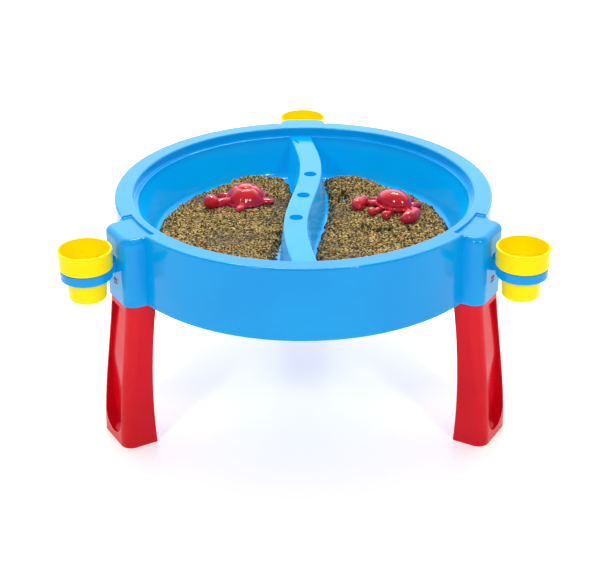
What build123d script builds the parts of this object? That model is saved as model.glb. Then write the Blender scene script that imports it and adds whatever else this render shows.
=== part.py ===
"""Sand and water table for a small child: a round tub with two basins on three plug-in legs.

The origin is on the floor, under the middle of the tub. +Z is up, and the front is towards -Y.
All sizes are in millimetres. The leg stations are alike, so what stands at a station is drawn
once along +X, where X is the distance from the tub's axis, and turned to each station.
"""

from build123d import *
import os
from math import cos, pi, radians, sin

# ---------------------------------------------------------------- tub
table_height = 393.0          # floor to the top of the rim
rim_radius = 330.0            # outer edge of the rim
rim_width = 32.0              # top of the rim, inner edge to outer edge
rim_round = 3.2               # rounding of the rim's two edges
wall = 3.0                    # wall of the tub, and of the legs
skirt_height = 126.0          # top of the rim to the lower edge of the skirt
skirt_flare = 2.0             # how much wider the skirt is at its lower edge
edge_round = 1.0              # rounding of the skirt's lower edge
ledge_depth = 15.0            # top of the rim to the ledge inside it
ledge_width = 8.0
ledge_round = 1.6
basin_depth = 92.0            # top of the rim to the basin floor
basin_draft = 22.0            # how far the basin wall leans in
floor_corner = 15.0           # rounding between the basin's floor and its wall

# ---------------------------------------------------------------- divider between the basins
divider_width = 40.0          # flat top
divider_foot = 58.0           # at the basin floor
divider_round = 3.2
divider_swing = 14.0          # how far its middle line swings to each side
divider_wave = 526.0          # length of one whole swing to and fro
divider_points = 15           # points that carry the middle line
socket_radius = 11.5          # holes in its top that hold accessories
socket_depth = 14.0
socket_pitch = 97.0
drain_slot_length = 21.0      # narrow slot near the back end
drain_slot_width = 4.0
drain_slot_side = 12.0        # slot's middle, to the left of the middle line
drain_slot_back = 27.0        # slot's middle, in from the ledge's inner edge
drain_slot_turn = 113.0

# ---------------------------------------------------------------- leg housings on the tub
stations = {"back": 90.0, "front_left": 210.0, "front_right": 330.0}
housing_width = 92.0
housing_top_reach = 33.0      # how far it stands out from the rim at its top
housing_bottom_reach = 34.0   # and at its lower edge
housing_corner = 20.0
housing_top_round = 10.0
panel_drop = 4.0              # its top panel lies this much below the rim
panel_edge_inset = 18.0       # the panel's curved inner edge, in from the rim's outer edge
housing_depth = 49.0          # inside of its outer wall to inside of its inner wall, at the bottom

# ---------------------------------------------------------------- legs
leg_foot_spread = 5.0         # each side of the foot, out from the housing's width
leg_corner = 20.0
leg_back_corner = 4.0
leg_splay = 26.5              # foot's outer face, out from the leg's top
leg_lean = 22.7               # how the outer face starts down from the top
foot_inset = 14.5             # foot's inner face, out from the leg's top
leg_bulge_top = 15.0          # handles of the inner face's curve
leg_bulge_foot = 5.8
head_over_nub = 12.0          # catch's nub, its middle, to the top of the leg's head
head_gap = 0.5                # clearance all round the head
pocket_depth = 6.5            # pocket's floor, in from the outer face at the leg's top
pocket_floor_lean = 15.0      # how far the floor leans out before it turns upright
pocket_knee = 105.0           # pocket's upper edge to where its floor turns upright
pocket_knee_round = 200.0
pocket_top_margin = 19.0      # each side of the pocket, in from the leg's side
pocket_foot_margin = 19.0
pocket_top_drop = 13.0        # leg's top to the pocket's upper edge
pocket_foot_height = 15.0     # floor to the pocket's lower edge
pocket_corner = 4.0

# ---------------------------------------------------------------- catches on the legs
catch_width = 14.4
catch_thickness = 2.5
catch_gap = 0.8               # each side of the tongue
catch_recess = 0.3            # tongue behind the head's outer face
catch_root = 7.0              # leg's top to the lower end of the tongue
catch_root_gap = 0.3
nub_height = 8.0
nub_width = 12.0
nub_rise = 35.0               # housing's lower edge to the nub's middle
nub_recess = 0.3              # nub's tip behind the housing's outer face
nub_round = 1.2
window_gap_side = 1.0
window_gap_end = 1.5

# ---------------------------------------------------------------- cup rings and cups
ring_standoff = 8.0           # ring's outside, out from the housing's top edge
ring_inner_radius = 36.5
ring_thickness = 6.5
ring_height = 17.0
ring_round = 2.0
ring_drop = 54.0              # top of the rim to the ring's top
neck_width = 12.0
neck_height = 19.0
neck_gap = 1.0                # each side of the neck in its slot
hook_drop = 5.0               # how far the hook hangs below the neck
hook_thickness = 3.0
hook_gap = 0.3                # hook to the housing's wall
slot_headroom = 10.0          # slot above the neck, to drop the hook in
cup_lip_height = 34.0         # cup's shoulder to the top of its lip
cup_seat = 7.5                # how far the cup's shoulder rests over the ring
cup_shoulder_round = 4.0
cup_lip_flare = 1.0           # lip, out from the shoulder
cup_waist_gap = 2.5           # cup below its shoulder, inside the ring
cup_foot_taper = 3.0          # foot, in from the waist
cup_foot_drop = 55.0          # shoulder to the underside
cup_foot_round = 5.0
cup_wall = 2.0
cup_bead = 1.4                # radius of the rolled lip

# ---------------------------------------------------------------- sand and moulds
sand_depth = 14.0
sand_round = 5.0
sand_wall_gap = 12.0          # edge of the sand to where the basin's wall starts
sand_back_left = 36.0         # back edge of the left heap, in from the basin's end
sand_back_right = 32.0
mould_wall = 2.2
turtle_place = (78.0, 126.0)  # its middle: left of the divider's foot, and back from the tub's middle
turtle_heading = 209.0        # way that its head points, in degrees from +X
turtle_shell = (38.0, 34.0)   # radius and height of its dome, which starts a wall's depth down
# each lump of the turtle: ahead, to the left, height of its middle, turn, half length, radius
turtle_lumps = (
    (72.0, 0.0, 12.0, 0.0, 14.0, 14.0),      # head
    (50.0, 0.0, 5.0, 0.0, 22.0, 9.0),        # neck
    (-40.0, 0.0, 1.0, 0.0, 9.0, 5.0),        # tail
    (27.0, 33.0, 1.0, 35.0, 15.0, 8.0),      # front flippers
    (27.0, -33.0, 1.0, -35.0, 15.0, 8.0),
    (-28.0, 30.0, 1.0, 140.0, 15.0, 8.0),    # back flippers
    (-28.0, -30.0, 1.0, -140.0, 15.0, 8.0),
)
crab_from_wall = 80.0         # its middle, in from the basin's wall at the floor
crab_bearing = 28.0           # way to it from the tub's middle, in degrees from +X
crab_heading = 235.0
crab_shell = (0.0, 0.0, 10.0, 90.0, 35.0, 24.5)    # long across the crab
# lumps of the crab's left side, which the right side repeats
crab_lumps = (
    (30.0, 55.0, 6.0, -12.0, 23.0, 14.0),    # claw
    (11.0, 36.0, 3.0, 60.0, 14.0, 7.0),      # arm
    (52.0, 15.0, 7.0, 0.0, 9.0, 8.0),        # eye
    (36.0, 12.0, 4.0, 10.0, 17.0, 5.5),      # its stalk
    (-5.0, 42.0, 2.0, 92.0, 13.0, 6.5),      # legs
    (-24.0, 30.0, 2.0, 130.0, 14.0, 6.5),
    (-35.0, 11.0, 2.0, 165.0, 14.0, 6.5),
)

# ---------------------------------------------------------------- worked out
floor_z = table_height - basin_depth
ledge_z = table_height - ledge_depth
skirt_z = table_height - skirt_height
panel_z = table_height - panel_drop
rim_inner_radius = rim_radius - rim_width
ledge_radius = rim_inner_radius - ledge_width
floor_radius = ledge_radius - basin_draft
housing_top_x = rim_radius + housing_top_reach
housing_bottom_x = rim_radius + housing_bottom_reach
housing_inner_x = housing_bottom_x - wall - housing_depth
housing_slope = (housing_bottom_x - housing_top_x) / (panel_z - skirt_z)
head_width = housing_width - 2 * wall - 2 * head_gap
head_inner_x = housing_inner_x + head_gap
nub_z = skirt_z + nub_rise
head_top_z = nub_z + head_over_nub
leg_foot_width = housing_width + 2 * leg_foot_spread
pocket_top_width = housing_width - 2 * pocket_top_margin
pocket_foot_width = leg_foot_width - 2 * pocket_foot_margin
ring_top_z = table_height - ring_drop
neck_bottom_z = ring_top_z - neck_height
ring_outer_radius = ring_inner_radius + ring_thickness
cup_x = housing_top_x + ring_standoff + ring_outer_radius
sand_top_z = floor_z + sand_depth
turtle_centre = (-divider_foot / 2 - turtle_place[0], turtle_place[1])
crab_reach = floor_radius - crab_from_wall
crab_centre = (crab_reach * cos(radians(crab_bearing)), crab_reach * sin(radians(crab_bearing)))
far = 2 * cup_x               # well outside everything, for cutting shapes


def housing_outer_x(z):
    """Outer face of a leg housing at height z."""
    return housing_bottom_x - housing_slope * (z - skirt_z)


def head_outer_x(z):
    """Outer face of a leg's head at height z, inside the housing's wall."""
    return housing_outer_x(z) - wall - head_gap


def divider_x(y):
    """Middle line of the divider: one sine wave from back to front."""
    return divider_swing * sin(2 * pi * y / divider_wave)


def turned(name, master, angle):
    """A copy of a piece drawn along +X, turned to its station, labelled and written."""
    with BuildPart() as piece:
        add(master, rotation=(0, 0, angle))
    piece.part.label = name
    export_step(piece.part, f"parts/{name}.step")
    return piece.part


os.makedirs("parts", exist_ok=True)


# ---------------------------------------------------------------- forms that the tub is made from
def housing_form(inset, bottom_z):
    """A leg housing's block, drawn in by inset: its outer face leans out, its corners are round."""
    top_z = panel_z - inset
    inner_x = housing_inner_x - wall + inset
    with BuildPart() as form:
        with BuildSketch(Plane.XZ):
            with BuildLine():
                Polyline(
                    (inner_x, bottom_z),
                    (housing_outer_x(bottom_z) - inset, bottom_z),
                    (housing_outer_x(top_z) - inset, top_z),
                    (inner_x, top_z),
                    close=True,
                )
            make_face()
        extrude(amount=housing_width / 2 - inset, both=True)
        upright = form.edges().filter_by(lambda e: abs(e.tangent_at(0.5).Z) > 0.9)
        fillet(upright.group_by(Axis.X)[-1], radius=housing_corner - inset)
        top_edges = form.faces().sort_by(Axis.Z)[-1].edges()
        fillet(top_edges.sort_by(Axis.X)[1:], radius=max(housing_top_round - inset, 1.0))
    return form.part


def divider_section(half_top, half_foot, top_z, bottom_z, rounding):
    """The divider's wedge, as a sketch square to the start of its middle line."""
    lean = (half_foot - half_top) / (top_z - floor_z)
    half_bottom = half_foot + lean * (floor_z - bottom_z)
    start = Plane(
        origin=divider_line.wire() @ 0,
        x_dir=(divider_line.wire() % 0).cross(Vector(0, 0, -1)),
        z_dir=divider_line.wire() % 0,
    )
    with BuildSketch(start) as section:
        with BuildLine():
            Polyline(
                (-half_bottom, bottom_z),
                (half_bottom, bottom_z),
                (half_top, top_z),
                (-half_top, top_z),
                close=True,
            )
        make_face()
        fillet(section.vertices().group_by(Axis.Y)[-1], radius=rounding)
    return section.sketch


divider_reach = rim_inner_radius + wall
with BuildLine() as divider_line:
    Spline(*[
        (divider_x(y), y)
        for y in (divider_reach * (2 * i / (divider_points - 1) - 1) for i in range(divider_points))
    ])

with BuildPart() as divider_form:
    sweep(
        divider_section(divider_width / 2, divider_foot / 2, ledge_z, floor_z - wall, divider_round),
        path=divider_line.wire(),
    )
    with BuildSketch(Plane.XZ) as inside_walls:
        with BuildLine():
            Polyline(
                (0, floor_z - wall),
                (floor_radius + wall / 2, floor_z - wall),
                (ledge_radius + wall / 2, ledge_z - wall),
                (rim_inner_radius + wall / 2, ledge_z - wall),
                (rim_inner_radius + wall / 2, ledge_z),
                (0, ledge_z),
                close=True,
            )
        make_face()
        corner = inside_walls.vertices().sort_by_distance((floor_radius, floor_z - wall))[0]
        fillet(corner, radius=floor_corner + wall / 2)
    revolve(axis=Axis.Z, mode=Mode.INTERSECT)

with BuildPart() as divider_hollow:
    sweep(
        divider_section(
            divider_width / 2 - wall, divider_foot / 2 - wall, ledge_z - wall, floor_z - 3 * wall, wall / 2
        ),
        path=divider_line.wire(),
    )
    with BuildSketch(Plane.XZ) as up_to_walls:
        with BuildLine():
            Polyline(
                (0, floor_z - 3 * wall),
                (floor_radius - floor_corner, floor_z - 3 * wall),
                (floor_radius - floor_corner, floor_z),
                (floor_radius, floor_z),
                (ledge_radius, ledge_z),
                (0, ledge_z),
                close=True,
            )
        make_face()
        corner = up_to_walls.vertices().sort_by_distance((floor_radius, floor_z))[0]
        fillet(corner, radius=floor_corner)
    revolve(axis=Axis.Z, mode=Mode.INTERSECT)

housing_block = housing_form(0, skirt_z)
housing_room = housing_form(wall, skirt_z - wall)

# slot for the cup ring's hook, and window for the leg's catch
with BuildPart() as housing_cuts:
    with BuildSketch(Plane.YZ.offset(housing_top_x - 2 * wall)):
        with Locations((0, neck_bottom_z)):
            Rectangle(
                neck_width + 2 * neck_gap,
                neck_height + slot_headroom,
                align=(Align.CENTER, Align.MIN),
            )
        with Locations((0, nub_z)):
            Rectangle(nub_width + 2 * window_gap_side, nub_height + 2 * window_gap_end)
    extrude(amount=4 * wall + housing_bottom_reach)

# ---------------------------------------------------------------- tub
with BuildPart() as tub:
    # one revolved wall: basin floor, basin wall, ledge, rim and skirt
    with BuildSketch(Plane.XZ) as tub_section:
        with BuildLine():
            Polyline(
                (0, floor_z),
                (floor_radius, floor_z),
                (ledge_radius, ledge_z),
                (rim_inner_radius, ledge_z),
                (rim_inner_radius, table_height),
                (rim_radius, table_height),
                (rim_radius + skirt_flare, skirt_z),
                (rim_radius + skirt_flare - wall, skirt_z),
                (rim_radius - wall, table_height - wall),
                (rim_inner_radius + wall, table_height - wall),
                (rim_inner_radius + wall, ledge_z - wall),
                (ledge_radius + wall, ledge_z - wall),
                (floor_radius + wall, floor_z - wall),
                (0, floor_z - wall),
                close=True,
            )
        make_face()
        for radius, at in (
            (floor_corner, (floor_radius, floor_z)),
            (floor_corner + wall, (floor_radius + wall, floor_z - wall)),
            (ledge_round, (ledge_radius, ledge_z)),
            (ledge_round, (rim_inner_radius, ledge_z)),
            (rim_round, (rim_inner_radius, table_height)),
            (rim_round, (rim_radius, table_height)),
            (edge_round, (rim_radius + skirt_flare, skirt_z)),
        ):
            fillet(tub_section.vertices().sort_by_distance(at)[0], radius=radius)
    revolve(axis=Axis.Z)

    # the divider, hollow from below, with cups under its three sockets
    add(divider_form.part)
    add(divider_hollow.part, mode=Mode.SUBTRACT)
    socket_places = [
        (divider_x(y), y, ledge_z)
        for y in (-socket_pitch, 0.0, socket_pitch)
    ]
    with Locations(*socket_places):
        Cylinder(
            socket_radius + wall,
            socket_depth + wall,
            align=(Align.CENTER, Align.CENTER, Align.MAX),
        )
        Cylinder(
            socket_radius,
            socket_depth,
            align=(Align.CENTER, Align.CENTER, Align.MAX),
            mode=Mode.SUBTRACT,
        )
    slot_y = ledge_radius - drain_slot_back
    with BuildSketch(Plane.XY.offset(ledge_z)):
        with Locations((divider_x(slot_y) - drain_slot_side, slot_y)):
            SlotOverall(drain_slot_length, drain_slot_width, rotation=drain_slot_turn)
    extrude(amount=-2 * wall, mode=Mode.SUBTRACT)

    # leg housings: a block, a web that closes the step in the rim, then the room inside
    for angle in stations.values():
        add(housing_block, rotation=(0, 0, angle))
        web_from = housing_inner_x - wall
        with BuildSketch(Plane.XY.offset(panel_z - wall).rotated((0, 0, angle))):
            with Locations((web_from, 0)):
                Rectangle(
                    rim_radius - web_from, housing_width, align=(Align.MIN, Align.CENTER)
                )
        extrude(amount=panel_drop + wall - rim_round / 4)
        add(housing_room, rotation=(0, 0, angle), mode=Mode.SUBTRACT)
        with BuildSketch(Plane.XY.offset(panel_z).rotated((0, 0, angle))):
            with Locations((rim_inner_radius, 0)):
                Rectangle(2 * rim_width + housing_top_reach, housing_width, align=(Align.MIN, Align.CENTER))
            Circle(rim_radius - panel_edge_inset, mode=Mode.SUBTRACT)
        extrude(amount=2 * panel_drop, mode=Mode.SUBTRACT)
        add(housing_cuts.part, rotation=(0, 0, angle), mode=Mode.SUBTRACT)
tub.part.label = "tub"
export_step(tub.part, "parts/tub.step")


# ---------------------------------------------------------------- legs
def leg_form(inset):
    """The leg below its housing, drawn in by inset: curved outer and inner faces, wider foot."""
    top_z = skirt_z - inset
    outer = head_outer_x(skirt_z) - inset
    inner = head_inner_x + inset
    drop = skirt_z / 3
    with BuildPart() as form:
        with BuildSketch(Plane.XZ):
            with BuildLine():
                Bezier(
                    (outer, top_z),
                    (outer + leg_lean / 3, top_z - drop),
                    (outer + leg_splay, drop),
                    (outer + leg_splay, inset),
                )
                Line((outer + leg_splay, inset), (inner + foot_inset, inset))
                Bezier(
                    (inner + foot_inset, inset),
                    (inner + foot_inset + leg_bulge_foot, drop),
                    (inner + leg_bulge_top, top_z - drop),
                    (inner, top_z),
                )
                Line((inner, top_z), (outer, top_z))
            make_face()
        extrude(amount=leg_foot_width, both=True)
        with BuildSketch(Plane.YZ):
            with BuildLine():
                Polyline(
                    (-leg_foot_width / 2 + inset, 0),
                    (leg_foot_width / 2 - inset, 0),
                    (housing_width / 2 - inset, skirt_z),
                    (-housing_width / 2 + inset, skirt_z),
                    close=True,
                )
            make_face()
        extrude(amount=far, mode=Mode.INTERSECT)
        upright = form.edges().filter_by(lambda e: e.length > skirt_z / 2)
        fillet(upright.sort_by(Axis.X)[-2:], radius=leg_corner - inset)
        upright = form.edges().filter_by(lambda e: e.length > skirt_z / 2)
        fillet(upright.sort_by(Axis.X)[:2], radius=leg_back_corner - inset)
    return form.part


def head_form(inset, bottom_z, top_z):
    """The part of the leg that plugs into its housing, drawn in by inset at the sides."""
    with BuildPart() as form:
        with BuildSketch(Plane.XZ):
            with BuildLine():
                Polyline(
                    (head_inner_x + inset, bottom_z),
                    (head_outer_x(max(bottom_z, skirt_z)) - inset, bottom_z),
                    (head_outer_x(top_z) - inset, top_z),
                    (head_inner_x + inset, top_z),
                    close=True,
                )
            make_face()
        extrude(amount=head_width / 2 - inset, both=True)
        upright = form.edges().filter_by(lambda e: abs(e.tangent_at(0.5).Z) > 0.9)
        fillet(upright.group_by(Axis.X)[-1], radius=housing_corner - wall - head_gap - inset)
    return form.part


def pocket_form(grow):
    """The pocket in the leg's outer face, larger by grow: leaning floor, round lower end."""
    floor_top_x = head_outer_x(skirt_z) - pocket_depth
    floor_x = floor_top_x + pocket_floor_lean
    run_out = leg_splay + pocket_depth - pocket_floor_lean
    top_z = skirt_z - pocket_top_drop + grow
    ramp_z = pocket_foot_height + run_out
    knee_z = skirt_z - pocket_top_drop - pocket_knee
    half_foot = pocket_foot_width / 2
    middle_z = pocket_foot_height + half_foot
    with BuildPart() as form:
        with BuildSketch(Plane.XZ) as side:
            with BuildLine():
                Polyline(
                    (floor_top_x - grow, top_z),
                    (floor_x - grow, knee_z),
                    (floor_x - grow, ramp_z),
                )
                ramp = TangentArc(
                    (floor_x - grow, ramp_z),
                    (floor_x + run_out, pocket_foot_height - grow),
                    tangent=(0, -1),
                )
                Polyline(
                    ramp @ 1,
                    (far, pocket_foot_height - grow),
                    (far, top_z),
                    (floor_top_x - grow, top_z),
                )
            make_face()
            inner_corner = side.vertices().sort_by_distance((floor_top_x - grow, top_z))[0]
            fillet(inner_corner, radius=pocket_corner)
            knee = side.vertices().sort_by_distance((floor_x - grow, knee_z))[0]
            fillet(knee, radius=pocket_knee_round)
        extrude(amount=leg_foot_width, both=True)
        with BuildSketch(Plane.YZ) as front:
            with Locations((0, middle_z)):
                Circle(half_foot + grow)
            with BuildLine():
                Polyline(
                    (-half_foot - grow, middle_z),
                    (half_foot + grow, middle_z),
                    (pocket_top_width / 2 + grow, top_z),
                    (-pocket_top_width / 2 - grow, top_z),
                    close=True,
                )
            make_face()
            fillet(front.vertices().group_by(Axis.Y)[-1], radius=pocket_corner)
        extrude(amount=far, mode=Mode.INTERSECT)
    return form.part


leg_outside = leg_form(0), head_form(0, skirt_z, head_top_z), pocket_form(0)
leg_inside = leg_form(wall), head_form(wall, skirt_z - 3 * wall, head_top_z + wall), pocket_form(wall)
with BuildPart() as leg_hollow:
    add(leg_inside[:2])
    add(leg_inside[2], mode=Mode.SUBTRACT)

tongue_bottom_z = skirt_z + catch_root
with BuildPart() as leg_master:
    add(leg_outside[:2])
    add(leg_outside[2], mode=Mode.SUBTRACT)
    add(leg_hollow.part, mode=Mode.SUBTRACT)
    # slot that frees the catch's tongue in the head's outer wall
    with BuildSketch(Plane.YZ.offset(head_outer_x(tongue_bottom_z) - 3 * wall)):
        with Locations((0, tongue_bottom_z)):
            Rectangle(
                catch_width + 2 * catch_gap, head_top_z - skirt_z, align=(Align.CENTER, Align.MIN)
            )
    extrude(amount=6 * wall, mode=Mode.SUBTRACT)


# ---------------------------------------------------------------- catches
def tongue_outer_x(z):
    """Outer face of a catch's tongue at height z."""
    return head_outer_x(z) - catch_recess


root_z = tongue_bottom_z + catch_root_gap
with BuildPart() as catch_master:
    with BuildSketch(Plane.XZ) as tongue_side:
        with BuildLine():
            Polyline(
                (tongue_outer_x(root_z), root_z),
                (tongue_outer_x(head_top_z), head_top_z),
                (tongue_outer_x(head_top_z) - catch_thickness, head_top_z),
                (tongue_outer_x(root_z) - catch_thickness, root_z),
                close=True,
            )
        make_face()
        fillet(tongue_side.vertices().group_by(Axis.Y)[0], radius=0.48 * catch_thickness)
    extrude(amount=catch_width / 2, both=True)
    nub_tip_x = housing_outer_x(nub_z) - nub_recess
    nub_root_x = tongue_outer_x(nub_z) - catch_thickness / 2
    with BuildSketch(Plane.XZ):
        with BuildLine():
            Polyline(
                (nub_root_x, nub_z - nub_height / 2),
                (nub_tip_x, nub_z - nub_height / 2),
                (nub_tip_x, nub_z + nub_height / 8),
                (nub_root_x, nub_z + nub_height / 2 + catch_thickness / 2),
                close=True,
            )
        make_face()
    extrude(amount=nub_width / 2, both=True)
    nub_face = catch_master.faces().sort_by(Axis.X)[-1]
    fillet(nub_face.edges(), radius=nub_round)

# ---------------------------------------------------------------- cup rings
with BuildPart() as ring_master:
    ring_plane = Plane.XY.offset(ring_top_z - ring_height)
    with BuildSketch(ring_plane):
        with Locations((cup_x, 0)):
            Circle(ring_outer_radius)
            Circle(ring_inner_radius, mode=Mode.SUBTRACT)
    extrude(amount=ring_height)
    fillet(ring_master.edges(), radius=ring_round)
    # neck that goes through the housing's slot and sits on its lower edge
    hook_outer_x = housing_outer_x(ring_top_z) - wall - hook_gap
    neck_from = hook_outer_x - hook_thickness
    neck_to = cup_x - (ring_inner_radius + ring_outer_radius) / 2
    with BuildSketch(Plane.XZ):
        with BuildLine():
            Polyline(
                (neck_from, ring_top_z),
                (neck_from, neck_bottom_z - hook_drop),
                (hook_outer_x, neck_bottom_z - hook_drop),
                (hook_outer_x, neck_bottom_z),
                (neck_to, neck_bottom_z),
                (neck_to + ring_round, neck_bottom_z + ring_round),
                (neck_to + ring_round, ring_top_z - ring_round),
                (neck_to, ring_top_z),
                close=True,
            )
        make_face()
    extrude(amount=neck_width / 2, both=True)

# ---------------------------------------------------------------- cups
cup_waist_radius = ring_inner_radius - cup_waist_gap
cup_foot_radius = cup_waist_radius - cup_foot_taper
cup_shoulder_radius = ring_inner_radius + cup_seat
cup_lip_radius = cup_shoulder_radius + cup_lip_flare
cup_lip_z = ring_top_z + cup_lip_height
cup_foot_z = ring_top_z - cup_foot_drop
cup_face = Plane(origin=(cup_x, 0, 0), x_dir=(1, 0, 0), z_dir=(0, -1, 0))
with BuildPart() as cup_master:
    with BuildSketch(cup_face) as cup_section:
        with BuildLine():
            Polyline(
                (0, cup_foot_z),
                (cup_foot_radius, cup_foot_z),
                (cup_waist_radius, ring_top_z),
                (cup_shoulder_radius, ring_top_z),
                (cup_lip_radius - cup_bead, cup_lip_z),
                (cup_lip_radius - cup_bead - cup_wall, cup_lip_z),
                (cup_shoulder_radius - cup_wall, ring_top_z + cup_wall),
                (cup_waist_radius - cup_wall, ring_top_z + cup_wall),
                (cup_foot_radius - cup_wall, cup_foot_z + cup_wall),
                (0, cup_foot_z + cup_wall),
                close=True,
            )
        make_face()
        for radius, at in (
            (cup_foot_round, (cup_foot_radius, cup_foot_z)),
            (cup_foot_round - cup_wall, (cup_foot_radius - cup_wall, cup_foot_z + cup_wall)),
            (cup_wall, (cup_waist_radius - cup_wall, ring_top_z + cup_wall)),
            (cup_shoulder_round, (cup_shoulder_radius, ring_top_z)),
            (cup_shoulder_round - cup_wall, (cup_shoulder_radius - cup_wall, ring_top_z + cup_wall)),
        ):
            fillet(cup_section.vertices().sort_by_distance(at)[0], radius=radius)
        with Locations((cup_lip_radius - cup_bead, cup_lip_z - cup_bead)):
            Circle(cup_bead)
    revolve(axis=Axis((cup_x, 0, 0), (0, 0, 1)))

for station, angle in stations.items():
    turned(f"leg_{station}", leg_master.part, angle)
    turned(f"leg_catch_{station}", catch_master.part, angle)
    turned(f"cup_ring_{station}", ring_master.part, angle)
    turned(f"cup_{station}", cup_master.part, angle)

# ---------------------------------------------------------------- sand
sand_edge_radius = floor_radius - sand_wall_gap


def sand_heap(name, side, back_gap):
    """A flat heap on one basin's floor: side is -1 for the left basin and +1 for the right one.

    It fills the front of the basin up to its wall, runs along the divider's foot, and ends
    short of the basin's back end by back_gap.
    """
    clear = divider_foot / 2 + sand_round
    with BuildPart() as heap:
        with BuildSketch(Plane.XY.offset(floor_z)) as plan:
            Circle(sand_edge_radius)
            with BuildLine() as divider_side:
                ys = [-floor_radius + floor_radius * i / 4 for i in range(9)]
                edge = Spline(*[(divider_x(y) + side * clear, y) for y in ys])
                Polyline(edge @ 1, (-side * far, floor_radius), (-side * far, -floor_radius), edge @ 0)
            make_face(mode=Mode.SUBTRACT)
            with Locations((0, floor_radius - back_gap)):
                Rectangle(far, far, align=(Align.CENTER, Align.MIN), mode=Mode.SUBTRACT)
            fillet(plan.vertices(), radius=3 * sand_round)
        extrude(amount=sand_depth)
        fillet(heap.faces().sort_by(Axis.Z)[-1].edges(), radius=sand_round)
    heap.part.label = name
    export_step(heap.part, f"parts/{name}.step")


sand_heap("sand_left", -1, sand_back_left)
sand_heap("sand_right", 1, sand_back_right)


# ---------------------------------------------------------------- sand moulds
def lump(centre, heading, place, inset):
    """A round-ended lump of a mould: a slot's outline turned about its own middle line.

    place says where it is from the mould's middle: ahead, to the left and up from the sand, then
    its turn from the mould's heading, its half length and its radius.
    """
    ahead, aside, height, turn, half_length, radius = place
    course = radians(heading)
    way = radians(heading + turn)
    middle = (
        centre[0] + ahead * cos(course) - aside * sin(course),
        centre[1] + ahead * sin(course) + aside * cos(course),
        sand_top_z + height,
    )
    plane = Plane(origin=middle, x_dir=(cos(way), sin(way), 0), z_dir=(sin(way), -cos(way), 0))
    reach = half_length - inset
    round_end = radius - inset
    with BuildPart() as solid:
        with BuildSketch(plane):
            SlotCenterToCenter(2 * max(reach - round_end, wall / 6), 2 * round_end)
            Rectangle(2 * reach + wall, round_end, align=(Align.CENTER, Align.MAX), mode=Mode.SUBTRACT)
        revolve(axis=Axis(plane.origin, plane.x_dir))
    return solid.part


def dome(centre, radius, height):
    """A shallow round dome, the cap of a ball, whose rim is a mould's wall below the sand's top."""
    ball = (radius ** 2 + height ** 2) / (2 * height)
    with BuildPart() as solid:
        with Locations((centre[0], centre[1], sand_top_z - mould_wall + height - ball)):
            Sphere(ball)
    return solid.part


def above_sand(pieces):
    """The pieces of a mould in one, cut off level where they meet the sand."""
    with BuildPart() as form:
        for piece in pieces:
            add(piece)
        with Locations((0, 0, sand_top_z)):
            Box(far, far, far, align=(Align.CENTER, Align.CENTER, Align.MAX), mode=Mode.SUBTRACT)
    return form.part


def turtle_form(inset):
    """Turtle: domed shell, neck and round head, four flippers and a tail, drawn in by inset."""
    shell = dome(turtle_centre, turtle_shell[0] - inset, turtle_shell[1] - inset)
    return above_sand([shell] + [
        lump(turtle_centre, turtle_heading, place, inset)
        for place in turtle_lumps
    ])


def crab_form(inset):
    """Crab: oval shell, and on each side a claw, its arm, an eye and three legs, drawn in by inset."""
    places = [crab_shell] + [
        (ahead, side * aside, height, side * turn, half_length, radius)
        for side in (1, -1)
        for ahead, aside, height, turn, half_length, radius in crab_lumps
    ]
    return above_sand([lump(crab_centre, crab_heading, place, inset) for place in places])


for name, form in (("turtle_mould", turtle_form), ("crab_mould", crab_form)):
    outside = form(0)
    inside = form(mould_wall)
    with BuildPart() as mould:
        add(outside)
        add(inside, mode=Mode.SUBTRACT)
    mould.part.label = name
    export_step(mould.part, f"parts/{name}.step")
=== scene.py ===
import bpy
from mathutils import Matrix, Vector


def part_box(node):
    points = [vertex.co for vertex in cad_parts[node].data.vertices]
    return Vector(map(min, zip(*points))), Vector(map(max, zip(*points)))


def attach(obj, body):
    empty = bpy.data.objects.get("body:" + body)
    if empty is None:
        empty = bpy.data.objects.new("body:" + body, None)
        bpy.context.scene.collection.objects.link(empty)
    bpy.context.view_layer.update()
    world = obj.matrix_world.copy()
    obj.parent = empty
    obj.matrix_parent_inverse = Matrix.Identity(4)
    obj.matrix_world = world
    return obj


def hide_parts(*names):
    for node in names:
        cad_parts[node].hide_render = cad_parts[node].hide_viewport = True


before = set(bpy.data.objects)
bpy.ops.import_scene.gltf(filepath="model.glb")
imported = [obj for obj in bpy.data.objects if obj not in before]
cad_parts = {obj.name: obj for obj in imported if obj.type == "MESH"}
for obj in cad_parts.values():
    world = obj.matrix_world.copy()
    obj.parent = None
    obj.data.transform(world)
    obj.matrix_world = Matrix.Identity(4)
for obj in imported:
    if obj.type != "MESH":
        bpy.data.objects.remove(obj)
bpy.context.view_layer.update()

import math

import bmesh
import bpy
import numpy as np
from mathutils import Matrix, Vector

# ---------------------------------------------------------------- camera
# A viewer stands in front of the table, a little over two metres away and higher than the
# cups' lips, so both basins, the divider and all three legs show.
camera_place = (-0.0070, -2.2861, 1.350)
camera_pitch = math.radians(63.14)
camera_roll = math.radians(-0.32)

camera = bpy.data.objects.new("camera", bpy.data.cameras.new("camera"))
bpy.context.scene.collection.objects.link(camera)
camera.data.lens = 84.4
camera.data.sensor_width = 36.0
camera.data.clip_start = 0.1
camera.data.clip_end = 50.0
camera.matrix_world = (
    Matrix.Translation(camera_place)
    @ Matrix.Rotation(camera_pitch, 4, "X")
    @ Matrix.Rotation(camera_roll, 4, "Z")
)
bpy.context.scene.camera = camera

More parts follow.
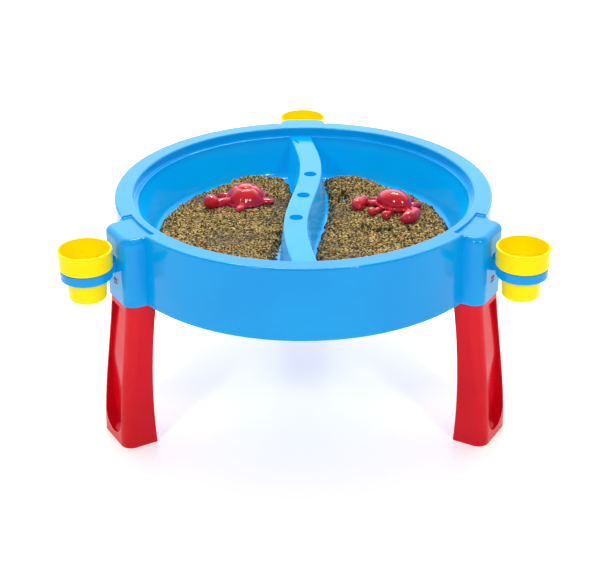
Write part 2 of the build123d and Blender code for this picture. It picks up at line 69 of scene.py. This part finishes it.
# ---------------------------------------------------------------- tub
# The tub is one injection moulding in glossy sky-blue polypropylene: rim, skirt, two basins,
# the S-shaped divider and the three leg housings. Use leaves fine scuffs, and damp sand
# leaves a faint haze low on the basin walls.
basin_depth = 0.092
basin_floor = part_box("tub")[1].z - basin_depth
blue_deep = (0.000, 0.205, 0.520)
blue_light = (0.000, 0.235, 0.550)
blue_dusty = (0.035, 0.235, 0.480)
blue_scuffed = (0.030, 0.300, 0.620)
# painted light: the tub glows a little blue all over, and more inside the basins, whose walls lie in shade
blue_painted_light = (0.000, 0.108, 0.260)
blue_basin_painted_light = (0.000, 0.175, 0.380)


class Wire:
    """A value inside a material: a node's output with arithmetic that adds Math nodes."""

    def __init__(self, tree, socket):
        self.tree = tree
        self.socket = socket

    def node(self, kind, output=0, settings=None, **inputs):
        """Any other node: its type, its settings, and the values or wires of its sockets."""
        made = self.tree.nodes.new(kind)
        for name, value in (settings or {}).items():
            if name == "stops":
                while len(made.color_ramp.elements) > 1:
                    made.color_ramp.elements.remove(made.color_ramp.elements[-1])
                for i, (place, colour) in enumerate(value):
                    stop = made.color_ramp.elements.new(place) if i else made.color_ramp.elements[0]
                    stop.position = place
                    stop.color = (*colour, 1.0)
            else:
                setattr(made, name, value)
        for name, value in inputs.items():
            key = int(name[1:]) if name[0] == "i" and name[1:].isdigit() else name.replace("_", " ")
            if isinstance(value, Wire):
                self.tree.links.new(value.socket, made.inputs[key])
            elif isinstance(value, tuple) and len(value) == 3 and len(made.inputs[key].default_value) == 4:
                made.inputs[key].default_value = (*value, 1.0)
            else:
                made.inputs[key].default_value = value
        return Wire(self.tree, made.outputs[output])

    def maths(self, operation, a, b=0.0, clamp=False):
        return self.node("ShaderNodeMath", 0, {"operation": operation, "use_clamp": clamp}, i0=a, i1=b)

    def __add__(self, other):
        return self.maths("ADD", self, other)

    def __sub__(self, other):
        return self.maths("SUBTRACT", self, other)

    def __mul__(self, other):
        return self.maths("MULTIPLY", self, other)

    def __rsub__(self, other):
        return self.maths("SUBTRACT", other, self)

    __radd__ = __add__
    __rmul__ = __mul__

    def clamped(self):
        return self.maths("ADD", self, 0.0, clamp=True)

    def between(self, low, high):
        """0 where the value is low or less, 1 where it is high or more, smooth in between."""
        return self.node(
            "ShaderNodeMapRange", 0, {"interpolation_type": "SMOOTHSTEP"},
            Value=self, From_Min=low, From_Max=high,
        )

    def mixed(self, a, b):
        """Colour a where this value is 0 and colour b where it is 1."""
        return self.node(
            "ShaderNodeMix", 2, {"data_type": "RGBA"}, i0=self, i6=a, i7=b
        )

    def noise(self, scale, detail=2.0, roughness=0.5, distortion=0.0):
        return self.node(
            "ShaderNodeTexNoise", 0, {}, Vector=self, Scale=scale, Detail=detail,
            Roughness=roughness, Distortion=distortion,
        )

    def axis(self, name):
        return self.node("ShaderNodeSeparateXYZ", "XYZ".index(name), {}, Vector=self)


def new_material(name, **constants):
    """A material with one Principled shader: returns it, the shader, and Object coordinates."""
    material = bpy.data.materials.new(name)
    material.use_nodes = True
    tree = material.node_tree
    shader = tree.nodes["Principled BSDF"]
    for socket, value in constants.items():
        shader.inputs[socket.replace("_", " ")].default_value = value
    place = tree.nodes.new("ShaderNodeTexCoord")
    return material, shader, Wire(tree, place.outputs["Object"])


def plug(shader, **wires):
    """Joins wires to the sockets of a shader."""
    for socket, wire in wires.items():
        wire.tree.links.new(wire.socket, shader.inputs[socket.replace("_", " ")])


def bump(height, strength, distance):
    """A Bump node over a height, for the Normal socket."""
    return height.node("ShaderNodeBump", 0, {}, Height=height, Strength=strength, Distance=distance)


def scuffs(place, amount):
    """Fine scratches: noise stretched along two slanting directions, thinned to hair lines."""
    total = None
    for turn, stretch in ((0.5, (260.0, 9.0, 30.0)), (-0.9, (9.0, 300.0, 30.0))):
        turned = place.node(
            "ShaderNodeMapping", 0, {}, Vector=place, Rotation=(0.3, 0.2, turn), Scale=stretch
        )
        line = turned.noise(1.0, detail=3.0).between(0.69 - amount, 0.74 - amount)
        total = line if total is None else total + line
    return total.clamped()


def moulded_plastic(name, deep, light, scuffed, roughness, coat, **constants):
    """Glossy moulded polypropylene: slight colour drift, hair scratches and a fine ripple."""
    material, shader, place = new_material(
        name, Coat_Weight=coat, Coat_Roughness=0.03, Specular_IOR_Level=0.08, **constants
    )
    drift = place.noise(6.0, detail=3.0).between(0.35, 0.65)
    lines = scuffs(place, 0.0)
    worn = place.noise(9.0, detail=4.0, roughness=0.65).between(0.52, 0.72)
    colour = (lines * worn * 0.35).mixed(drift.mixed(deep, light), scuffed)
    ripple = place.noise(55.0, detail=2.0) * 0.7 + place.noise(900.0, detail=1.0) * 0.06
    plug(
        shader,
        Base_Color=colour,
        Roughness=place.noise(14.0, detail=3.0) * 0.10 + lines * worn * 0.18 + (roughness - 0.05),
        Normal=bump(ripple, 0.25, 0.0004),
    )
    return material, shader, place, colour


tub_material, tub_shader, tub_place, tub_colour = moulded_plastic(
    "sky_blue_plastic", blue_deep, blue_light, blue_scuffed, roughness=0.18, coat=0.28,
    Emission_Strength=1.0,
)
height_on_tub = tub_place.axis("Z")
flattened = tub_place.node(
    "ShaderNodeVectorMath", 0, {"operation": "MULTIPLY"}, i0=tub_place, i1=(1.0, 1.0, 0.0)
)
across = tub_place.node("ShaderNodeVectorMath", 1, {"operation": "LENGTH"}, i0=flattened)
basin_mouth_radius = 0.290
haze_height = 0.030
in_basin = 1.0 - across.between(basin_mouth_radius - 0.004, basin_mouth_radius)
in_basin = in_basin * height_on_tub.between(basin_floor - 0.0005, basin_floor)
haze = (1.0 - height_on_tub.between(basin_floor, basin_floor + haze_height)) * in_basin
haze = haze * tub_place.noise(30.0, detail=5.0, roughness=0.7).between(0.42, 0.70)
# Painted light: emission lifts the whole tub, and lifts the basin walls and floor more, where shade falls.
plug(
    tub_shader,
    Base_Color=(haze * 0.45).mixed(tub_colour, blue_dusty),
    Emission_Color=in_basin.mixed(blue_painted_light, blue_basin_painted_light),
)


def paint(node, material):
    """Gives a CAD node its material."""
    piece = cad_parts[node]
    piece.data.materials.clear()
    piece.data.materials.append(material)


paint("tub", tub_material)

# ---------------------------------------------------------------- legs and their catches
# Three hollow legs, injection moulded in glossy red polypropylene. Each plugs into its housing
# with a head, and a spring tongue with a nub, part of the same moulding, clicks into a window.
red_deep = (0.600, 0.000, 0.008)
red_light = (0.690, 0.002, 0.014)
red_scuffed = (0.800, 0.120, 0.130)
stations = ("back", "front_left", "front_right")

leg_material = moulded_plastic(
    "red_plastic", red_deep, red_light, red_scuffed, roughness=0.22, coat=0.22
)[0]
for station in stations:
    paint(f"leg_{station}", leg_material)
    paint(f"leg_catch_{station}", leg_material)

# ---------------------------------------------------------------- cup rings
# Blue rings, moulded in the tub's polypropylene, that hang by a hook in the housings' slots.
# Painted light: the rings carry the tub's painted blue glow as emission.
ring_material = moulded_plastic(
    "ring_blue_plastic", blue_deep, blue_light, blue_scuffed, roughness=0.20, coat=0.28,
    Emission_Color=(*blue_painted_light, 1.0), Emission_Strength=1.0
)[0]
for station in stations:
    paint(f"cup_ring_{station}", ring_material)

# ---------------------------------------------------------------- cups
# Thin-walled yellow polypropylene cups with a rolled lip. They rest on their shoulders in
# the rings and lift straight out. A faint painted glow stands in for light through the wall.
yellow_deep = (0.960, 0.700, 0.000)
yellow_light = (1.000, 0.780, 0.000)
yellow_scuffed = (1.000, 0.880, 0.160)

cup_material = moulded_plastic(
    "yellow_plastic", yellow_deep, yellow_light, yellow_scuffed, roughness=0.26, coat=0.06,
    Emission_Color=(1.0, 0.68, 0.0, 1.0), Emission_Strength=0.10,
)[0]
for station in stations:
    paint(f"cup_{station}", cup_material)

# ---------------------------------------------------------------- sand
# Damp, coarse play sand, two heaps, one in each basin. It clumps into crumbs of a few
# millimetres, is ragged at its edges, lies a little deeper at the back, and is scraped away
# to the bare basin floor in a few small patches round the crab.
floor_radius = 0.268
heap_front = -0.2595
heap_rows, heap_columns = 420, 200
bed_depth = 0.0125
bed_swell, bed_ripple = 0.0016, 0.0010
crumb_height = 0.0068
below_floor = 0.0012
divider_swing = 0.014
divider_wave = 0.526
divider_half_foot = 0.029


def lattice_noise(x, y, cell, seed):
    """Gradient noise of about -1 to 1: each lattice point has a random slope, and the four
    slopes around a place are blended with a smooth S-curve."""
    size = 256
    angles = np.random.default_rng(seed).uniform(0, 2 * np.pi, (size, size))
    u, v = x / cell, y / cell
    i, j = np.floor(u).astype(int), np.floor(v).astype(int)
    fu, fv = u - i, v - j

    def corner(di, dj):
        angle = angles[(i + di) % size, (j + dj) % size]
        return np.cos(angle) * (fu - di) + np.sin(angle) * (fv - dj)

    su = fu * fu * fu * (fu * (6 * fu - 15) + 10)
    sv = fv * fv * fv * (fv * (6 * fv - 15) + 10)
    low = corner(0, 0) * (1 - su) + corner(1, 0) * su
    high = corner(0, 1) * (1 - su) + corner(1, 1) * su
    return 1.5 * (low * (1 - sv) + high * sv)


def smooth(low, high, value):
    """0 below low, 1 above high, and a smooth S-curve in between."""
    t = np.clip((value - low) / (high - low), 0, 1)
    return t * t * (3 - 2 * t)


def divider_middle(y):
    """The divider's middle line: one sine wave."""
    return divider_swing * np.sin(2 * np.pi * y / divider_wave)


def sand_surface(x, y, edge_gap, mounds, hollows, seed):
    """Height of the sand above the basin floor, and how much a place stands out (0 to 1).

    A bed of even depth rises from its ragged edge like a slope at rest, with broad swells and
    bell-shaped mounds, and falls away to nothing in each hollow. Crumbs are ridges: one minus
    the size of a noise, bent by a second noise.
    """
    bed = bed_depth + bed_swell * lattice_noise(x, y, 0.060, seed)
    bed = bed + bed_ripple * lattice_noise(x, y, 0.022, seed + 1)
    for mx, my, reach, rise in mounds:
        bed = bed + rise * np.exp(-((x - mx) ** 2 + (y - my) ** 2) / reach ** 2)
    filled = np.ones_like(x)
    for hx, hy, half_x, half_y in hollows:
        away = np.hypot((x - hx) / half_x, (y - hy) / half_y)
        filled = filled * smooth(0.6, 1.7, away + 0.25 * lattice_noise(x, y, 0.006, seed + 5))
    bend_x = x + 0.0022 * lattice_noise(x, y, 0.0055, seed + 2)
    bend_y = y + 0.0022 * lattice_noise(x, y, 0.0055, seed + 3)
    ridge = 1 - np.abs(lattice_noise(bend_x, bend_y, 0.0064, seed + 4))
    fine = lattice_noise(x, y, 0.0027, seed + 6)
    stand_out = np.clip(0.75 * ridge + 0.25 * (fine + 1) / 2, 0, 1)
    ragged = edge_gap + 0.006 * lattice_noise(x, y, 0.015, seed + 7)
    ragged = ragged + 0.004 * lattice_noise(x, y, 0.0050, seed + 8) - 0.002
    shore = smooth(0.0, 0.014, ragged) * filled
    crumbs = crumb_height * (stand_out - 0.74)
    bare = 1 - smooth(0.0, 0.004, ragged) * smooth(0.0, 0.10, filled)
    return (bed + crumbs) * shore - below_floor * bare, stand_out


def sand_limits(side, y):
    """Left and right limits of a heap's rows: the basin wall and the divider's foot."""
    wall_x = side * np.sqrt(np.maximum((floor_radius - 0.006) ** 2 - y ** 2, 0))
    foot_x = divider_middle(y) + side * (divider_half_foot + 0.002)
    return wall_x, foot_x


def sand_gap(side, x, y, back_y):
    """How far a place is inside the heap's edge, at the wall, the divider's foot or the back."""
    to_wall = floor_radius - 0.004 - np.hypot(x, y)
    to_foot = side * (x - divider_middle(y)) - divider_half_foot - 0.001
    to_back = back_y - y
    return np.minimum(np.minimum(to_wall, to_foot), to_back)


def heap_mesh(name, side, back_y, mounds, hollows, seed):
    """A heap: rows of points from the wall to the divider's foot, raised to the sand's surface,
    over one flat face on the basin floor."""
    ys = np.linspace(heap_front, back_y, heap_rows)
    wall_x, foot_x = sand_limits(side, ys)
    left, right = np.minimum(wall_x, foot_x), np.maximum(wall_x, foot_x)
    t = np.linspace(0, 1, heap_columns)
    x = left[:, None] + (right - left)[:, None] * t
    y = np.repeat(ys[:, None], heap_columns, axis=1)
    height, stand_out = sand_surface(x, y, sand_gap(side, x, y, back_y), mounds, hollows, seed)
    height[0], height[-1], height[:, 0], height[:, -1] = (-below_floor,) * 4
    points = np.stack([x, y, basin_floor + height], axis=-1).reshape(-1, 3)
    index = np.arange(heap_rows * heap_columns).reshape(heap_rows, heap_columns)
    quads = np.stack(
        [index[:-1, :-1], index[:-1, 1:], index[1:, 1:], index[1:, :-1]], axis=-1
    ).reshape(-1, 4)
    border = np.concatenate([index[0, :-1], index[:-1, -1], index[-1, :0:-1], index[:0:-1, 0]])
    mesh = bpy.data.meshes.new(name)
    mesh.from_pydata(points.tolist(), [], quads.tolist() + [border[::-1].tolist()])
    mesh.attributes.new("stand_out", "FLOAT", "POINT").data.foreach_set("value", stand_out.ravel())
    mesh.shade_smooth()
    return mesh


def add_piece(name, mesh, material, body, slot, *nodes):
    """Puts a mesh in the scene as a piece that rides on a body and stands for CAD nodes."""
    piece = bpy.data.objects.new(name, mesh)
    bpy.context.scene.collection.objects.link(piece)
    mesh.materials.append(material)
    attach(piece, body)
    if nodes:
        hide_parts(*nodes)
    return piece


sand_material, sand_shader, sand_place = new_material("coarse_damp_sand", Specular_IOR_Level=0.35)
stand_out = sand_place.node("ShaderNodeAttribute", 2, {"attribute_name": "stand_out"})
grains = sand_place.node(
    "ShaderNodeTexVoronoi", 1, {}, Vector=sand_place, Scale=430.0, Randomness=1.0
)
grain_tone = grains.node("ShaderNodeSeparateColor", 0, {}, Color=grains)
light_sand = grain_tone.node("ShaderNodeValToRGB", 0, {"stops": (
    (0.00, (0.020, 0.012, 0.004)), (0.20, (0.070, 0.042, 0.010)), (0.32, (0.250, 0.155, 0.036)),
    (0.70, (0.440, 0.280, 0.075)), (1.00, (0.780, 0.560, 0.220)))}, Fac=grain_tone)
damp = sand_place.noise(11.0, detail=4.0, roughness=0.6).between(0.50, 0.68)
# Painted shade: the low places between the crumbs are darkened almost to black.
painted_pit_shade = 1.0 - stand_out.between(0.56, 0.84)
sand_colour = (painted_pit_shade * 0.92).mixed(light_sand, (0.022, 0.016, 0.008))
sand_colour = (damp * 0.55).mixed(sand_colour, (0.050, 0.038, 0.018))
plug(
    sand_shader,
    Base_Color=sand_colour,
    Roughness=0.92 - damp * 0.25,
    Normal=bump(grain_tone * 0.6 + sand_place.noise(1500.0, detail=2.0) * 0.5, 0.7, 0.0006),
)

# each heap: its side, its back edge, its mounds (x, y, reach, rise) and its bare patches
heaps = {
    "sand_left": (-1, 0.243, ((-0.110, 0.226, 0.045, 0.009), (-0.070, 0.215, 0.040, 0.004)), ()),
    "sand_right": (1, 0.240, ((0.090, 0.222, 0.040, 0.008), (0.060, 0.190, 0.050, 0.003)), (
        (0.070, 0.128, 0.008, 0.010), (0.078, 0.150, 0.007, 0.010), (0.109, 0.000, 0.008, 0.009),
        (0.134, -0.006, 0.008, 0.007), (0.152, -0.004, 0.007, 0.006), (0.189, -0.002, 0.009, 0.008),
    )),
}
for seed, (name, (side, back_y, mounds, hollows)) in enumerate(heaps.items()):
    mesh = heap_mesh(name + "_heap", side, back_y, mounds, hollows, 20 * seed + 3)
    add_piece(name + "_heap", mesh, sand_material, "table", "sand", name)

# ---------------------------------------------------------------- sand moulds
# A turtle and a crab, thin shells moulded in glossy, slightly see-through red plastic and open
# underneath. A child fills them with damp sand and turns it out.
sand_depth = 0.014
sand_top = basin_floor + sand_depth
mould_wall = 0.0022
turtle = ((-0.107, 0.126), math.radians(209.0))
crab = ((0.1660, 0.0883), math.radians(235.0))
# each lump: ahead, to the left, up, turn in degrees, half length, half width, half height
turtle_lumps = (
    (0.000, 0.000, 0.0015, 0.0, 0.0400, 0.0385, 0.0050),     # flared edge of the shell
    (0.050, 0.000, 0.0050, 0.0, 0.0220, 0.0090, 0.0090),     # neck
    (0.072, 0.000, 0.0120, 0.0, 0.0140, 0.0135, 0.0138),     # head
    (-0.040, 0.000, 0.0010, 0.0, 0.0090, 0.0050, 0.0050),    # tail
)
turtle_flippers = (
    (0.027, 0.033, 0.0015, 35.0, 0.0150, 0.0078, 0.0070),
    (-0.028, 0.030, 0.0015, 140.0, 0.0150, 0.0078, 0.0070),
)
crab_body = (
    (0.000, 0.000, 0.0100, 90.0, 0.0350, 0.0245, 0.0243),    # shell
    (0.000, 0.000, 0.0060, 90.0, 0.0375, 0.0270, 0.0080),    # its rounded edge
)
crab_side = (
    (0.034, 0.055, 0.0060, -12.0, 0.0190, 0.0125, 0.0130),   # claw
    (0.018, 0.055, 0.0060, -12.0, 0.0120, 0.0105, 0.0110),   # its wrist
    (0.044, 0.047, 0.0050, -28.0, 0.0090, 0.0045, 0.0060),   # its finger
    (0.011, 0.036, 0.0030, 60.0, 0.0140, 0.0070, 0.0070),    # arm
    (0.052, 0.015, 0.0070, 0.0, 0.0085, 0.0080, 0.0080),     # eye
    (0.036, 0.012, 0.0040, 10.0, 0.0170, 0.0055, 0.0055),    # its stalk
    (-0.005, 0.042, 0.0020, 92.0, 0.0130, 0.0060, 0.0065),   # legs
    (-0.024, 0.030, 0.0020, 130.0, 0.0140, 0.0060, 0.0065),
    (-0.035, 0.011, 0.0020, 165.0, 0.0140, 0.0060, 0.0065),
)
lump_rings, lump_points = 40, 72
skin_cell = 0.0009
plate_tilt = math.radians(50.0)
groove_depth = 0.045          # as a share of the shell's radius


def lump_surface(place, relief=None):
    """An ellipsoid: half sizes times the direction at each latitude and longitude, then turned.

    The relief, if any, is a share of the radius that is added at each direction.
    """
    ahead, aside, up, turn, half_length, half_width, half_height = place
    latitude = np.linspace(-np.pi / 2 + 0.02, np.pi / 2 - 0.02, lump_rings)[:, None]
    longitude = np.linspace(0, 2 * np.pi, lump_points, endpoint=False)[None, :]
    way = np.stack(np.broadcast_arrays(
        np.cos(latitude) * np.cos(longitude), np.cos(latitude) * np.sin(longitude), np.sin(latitude)
    ), axis=-1)
    swell = 1.0 if relief is None else 1.0 + relief(way)[..., None]
    points = way * (half_length, half_width, half_height) * swell
    angle = math.radians(turn)
    x = ahead + points[..., 0] * math.cos(angle) - points[..., 1] * math.sin(angle)
    y = aside + points[..., 0] * math.sin(angle) + points[..., 1] * math.cos(angle)
    return np.stack([x, y, up + points[..., 2]], axis=-1)


def ring_surface(middle, facing, radius, tube):
    """A round ring: a small circle carried round a larger one that faces a given way."""
    across = np.cross(facing, (0.0, 0.0, 1.0))
    across = across / np.linalg.norm(across)
    upright = np.cross(across, facing)
    round_way = np.linspace(0, 2 * np.pi, lump_rings)[:, None, None]
    tube_way = np.linspace(0, 2 * np.pi, lump_points, endpoint=False)[None, :, None]
    outward = across * np.cos(round_way) + upright * np.sin(round_way)
    across_tube = outward * (radius + tube * np.cos(tube_way))
    return np.asarray(middle) + across_tube + facing * (tube * np.sin(tube_way))


def shell_plates(way):
    """Raised plates of the turtle's shell: one at the top, six round it, with grooves between.

    The groove is where the nearest two plate middles are almost equally far away.
    """
    turns = np.radians(np.arange(6) * 60.0 + 30.0)
    round_top = np.stack([
        np.sin(plate_tilt) * np.cos(turns), np.sin(plate_tilt) * np.sin(turns), np.full(6, np.cos(plate_tilt))
    ], axis=-1)
    middles = np.concatenate([[(0.0, 0.0, 1.0)], round_top])
    near = np.sort(way @ middles.T, axis=-1)
    groove = 1 - smooth(0.02, 0.12, near[..., -1] - near[..., -2])
    return -groove_depth * groove * smooth(0.1, 0.4, way[..., 2])


def mould_mesh(name, surfaces, stand):
    """Joins the lumps into one skin and cuts it open level with the sand."""
    points, faces, start = [], [], 0
    for surface in surfaces:
        rows, columns = surface.shape[:2]
        index = start + np.arange(rows * columns).reshape(rows, columns)
        after = np.roll(index, -1, axis=1)
        quads = np.stack([index[:-1], after[:-1], after[1:], index[1:]], axis=-1).reshape(-1, 4)
        faces += quads.tolist() + [index[0, ::-1].tolist(), index[-1].tolist()]
        points.append(surface.reshape(-1, 3))
        start += rows * columns
    points = np.concatenate(points)
    (x0, y0), heading = stand
    x = x0 + points[:, 0] * math.cos(heading) - points[:, 1] * math.sin(heading)
    y = y0 + points[:, 0] * math.sin(heading) + points[:, 1] * math.cos(heading)
    raw = bpy.data.meshes.new(name + "_lumps")
    raw.from_pydata(np.stack([x, y, sand_top + points[:, 2]], axis=-1).tolist(), [], faces)
    former = bpy.data.objects.new(name + "_former", raw)
    bpy.context.scene.collection.objects.link(former)
    skin = former.modifiers.new("skin", "REMESH")
    skin.mode = "VOXEL"
    skin.voxel_size = skin_cell
    soft = former.modifiers.new("soft", "SMOOTH")
    soft.factor, soft.iterations = 0.5, 5
    finished = former.evaluated_get(bpy.context.evaluated_depsgraph_get())
    joined = bpy.data.meshes.new_from_object(finished)
    bpy.data.objects.remove(former)
    cut = bmesh.new()
    cut.from_mesh(joined)
    bmesh.ops.bisect_plane(
        cut, geom=cut.verts[:] + cut.edges[:] + cut.faces[:], dist=1e-6,
        plane_co=(0, 0, sand_top + 0.0001), plane_no=(0, 0, -1), clear_outer=True,
    )
    cut.to_mesh(joined)
    cut.free()
    joined.name = name
    joined.shade_smooth()
    return joined


mould_material, mould_shader, mould_place = new_material(
    "clear_red_plastic", Coat_Weight=0.6, Coat_Roughness=0.03, Specular_IOR_Level=0.5,
    Transmission_Weight=0.22, IOR=1.45,
)
mould_height = mould_place.axis("Z")
low_edge = 1.0 - mould_height.between(sand_top, sand_top + 0.012)
cloud = mould_place.noise(60.0, detail=3.0).between(0.35, 0.65)
mould_colour = cloud.mixed((0.620, 0.000, 0.012), (0.780, 0.004, 0.020))
# Painted light: near the base the red turns purple, standing in for the blue light of the tub showing through
# the thin rim.
mould_colour = (low_edge * 0.55).mixed(mould_colour, (0.420, 0.004, 0.060))
grit = mould_place.noise(420.0, detail=3.0).between(0.70, 0.74) * (low_edge * 0.8 + 0.08)
plug(
    mould_shader,
    Base_Color=grit.mixed(mould_colour, (0.330, 0.220, 0.090)),
    Roughness=mould_place.noise(90.0, detail=2.0) * 0.06 + grit * 0.5 + 0.06,
    Normal=bump(mould_place.noise(240.0, detail=2.0), 0.12, 0.0004),
)
mirrored = np.array([1.0, -1.0, 1.0])
turtle_shell = lump_surface((0.0, 0.0, 0.0, 0.0, 0.0372, 0.0372, 0.0318), shell_plates)
flippers = [lump_surface(place) for place in turtle_flippers]
eyes = [ring_surface((0.074, 0.0105, 0.0190), np.array((0.10, 0.78, 0.62)), radius=0.0042, tube=0.0012)]
turtle_surfaces = [turtle_shell] + [lump_surface(place) for place in turtle_lumps] + flippers + eyes
turtle_surfaces += [piece[:, ::-1] * mirrored for piece in flippers + eyes]
crab_surfaces = [lump_surface(place) for place in crab_side]
crab_surfaces += [piece[:, ::-1] * mirrored for piece in crab_surfaces]
crab_surfaces += [lump_surface(place) for place in crab_body]
for name, surfaces, stand in (("turtle", turtle_surfaces, turtle), ("crab", crab_surfaces, crab)):
    shape = mould_mesh(name + "_mould_shell", surfaces, stand)
    piece = add_piece(
        name + "_mould_shell", shape, mould_material, name + "_mould", "mould", name + "_mould")
    wall = piece.modifiers.new("wall", "SOLIDIFY")
    wall.thickness = mould_wall
    wall.offset = -1.0

# ---------------------------------------------------------------- floor and light
# A plain white studio floor that the legs stand on, with large soft lights around.
floor_mesh = bpy.data.meshes.new("floor")
floor_half = 12.0
floor_mesh.from_pydata(
    [(x * floor_half, y * floor_half, 0.0) for x, y in ((-1, -1), (1, -1), (1, 1), (-1, 1))],
    [], [(0, 1, 2, 3)],
)
floor = bpy.data.objects.new("floor", floor_mesh)
bpy.context.scene.collection.objects.link(floor)
floor_material, floor_shader, floor_place = new_material(
    "studio_floor", Specular_IOR_Level=0.15, Emission_Color=(1.0, 0.93, 0.90, 1.0), Emission_Strength=0.36
)
plug(
    floor_shader,
    Base_Color=floor_place.noise(3.0, detail=2.0).mixed((0.90, 0.84, 0.81), (0.93, 0.87, 0.84)),
    Roughness=floor_place.noise(8.0, detail=2.0) * 0.08 + 0.22,
)
floor_mesh.materials.append(floor_material)

world = bpy.data.worlds.new("studio")
bpy.context.scene.world = world
world.use_nodes = True
world_tree = world.node_tree
toward = Wire(world_tree, world_tree.nodes.new("ShaderNodeTexCoord").outputs["Generated"])
seen = Wire(world_tree, world_tree.nodes.new("ShaderNodeLightPath").outputs["Is Camera Ray"])
behind = toward.axis("Y").between(-0.2, 0.9)
above = toward.axis("Z").between(-0.1, 0.9)
glow = behind * 2.0 + above * 0.18 + 0.18    # a bright backdrop, a dimmer room in front
backdrop = world_tree.nodes["Background"]
backdrop.inputs["Color"].default_value = (1.0, 1.0, 1.0, 1.0)
world_tree.links.new((seen + (1.0 - seen) * glow).socket, backdrop.inputs["Strength"])


def soft_light(name, place, aim, size, power):
    """A large square area light at a place, turned towards a point."""
    lamp = bpy.data.lights.new(name, "AREA")
    lamp.shape = "RECTANGLE"
    lamp.size, lamp.size_y = size
    lamp.energy = power
    light = bpy.data.objects.new(name, lamp)
    bpy.context.scene.collection.objects.link(light)
    light.matrix_world = Matrix.Translation(place) @ (
        Vector(aim) - Vector(place)
    ).to_track_quat("-Z", "Y").to_matrix().to_4x4()


soft_light("overhead", (0.0, 0.9, 2.4), (0.0, 0.0, 0.3), (0.9, 0.35), 30.0)
soft_light("window_left", (-1.3, -2.2, 2.1), (0.0, 0.0, 0.3), (0.32, 0.40), 21.0)
soft_light("window_right", (1.3, -2.2, 2.1), (0.0, 0.0, 0.3), (0.32, 0.40), 21.0)

bpy.context.scene.view_settings.view_transform = "Standard"
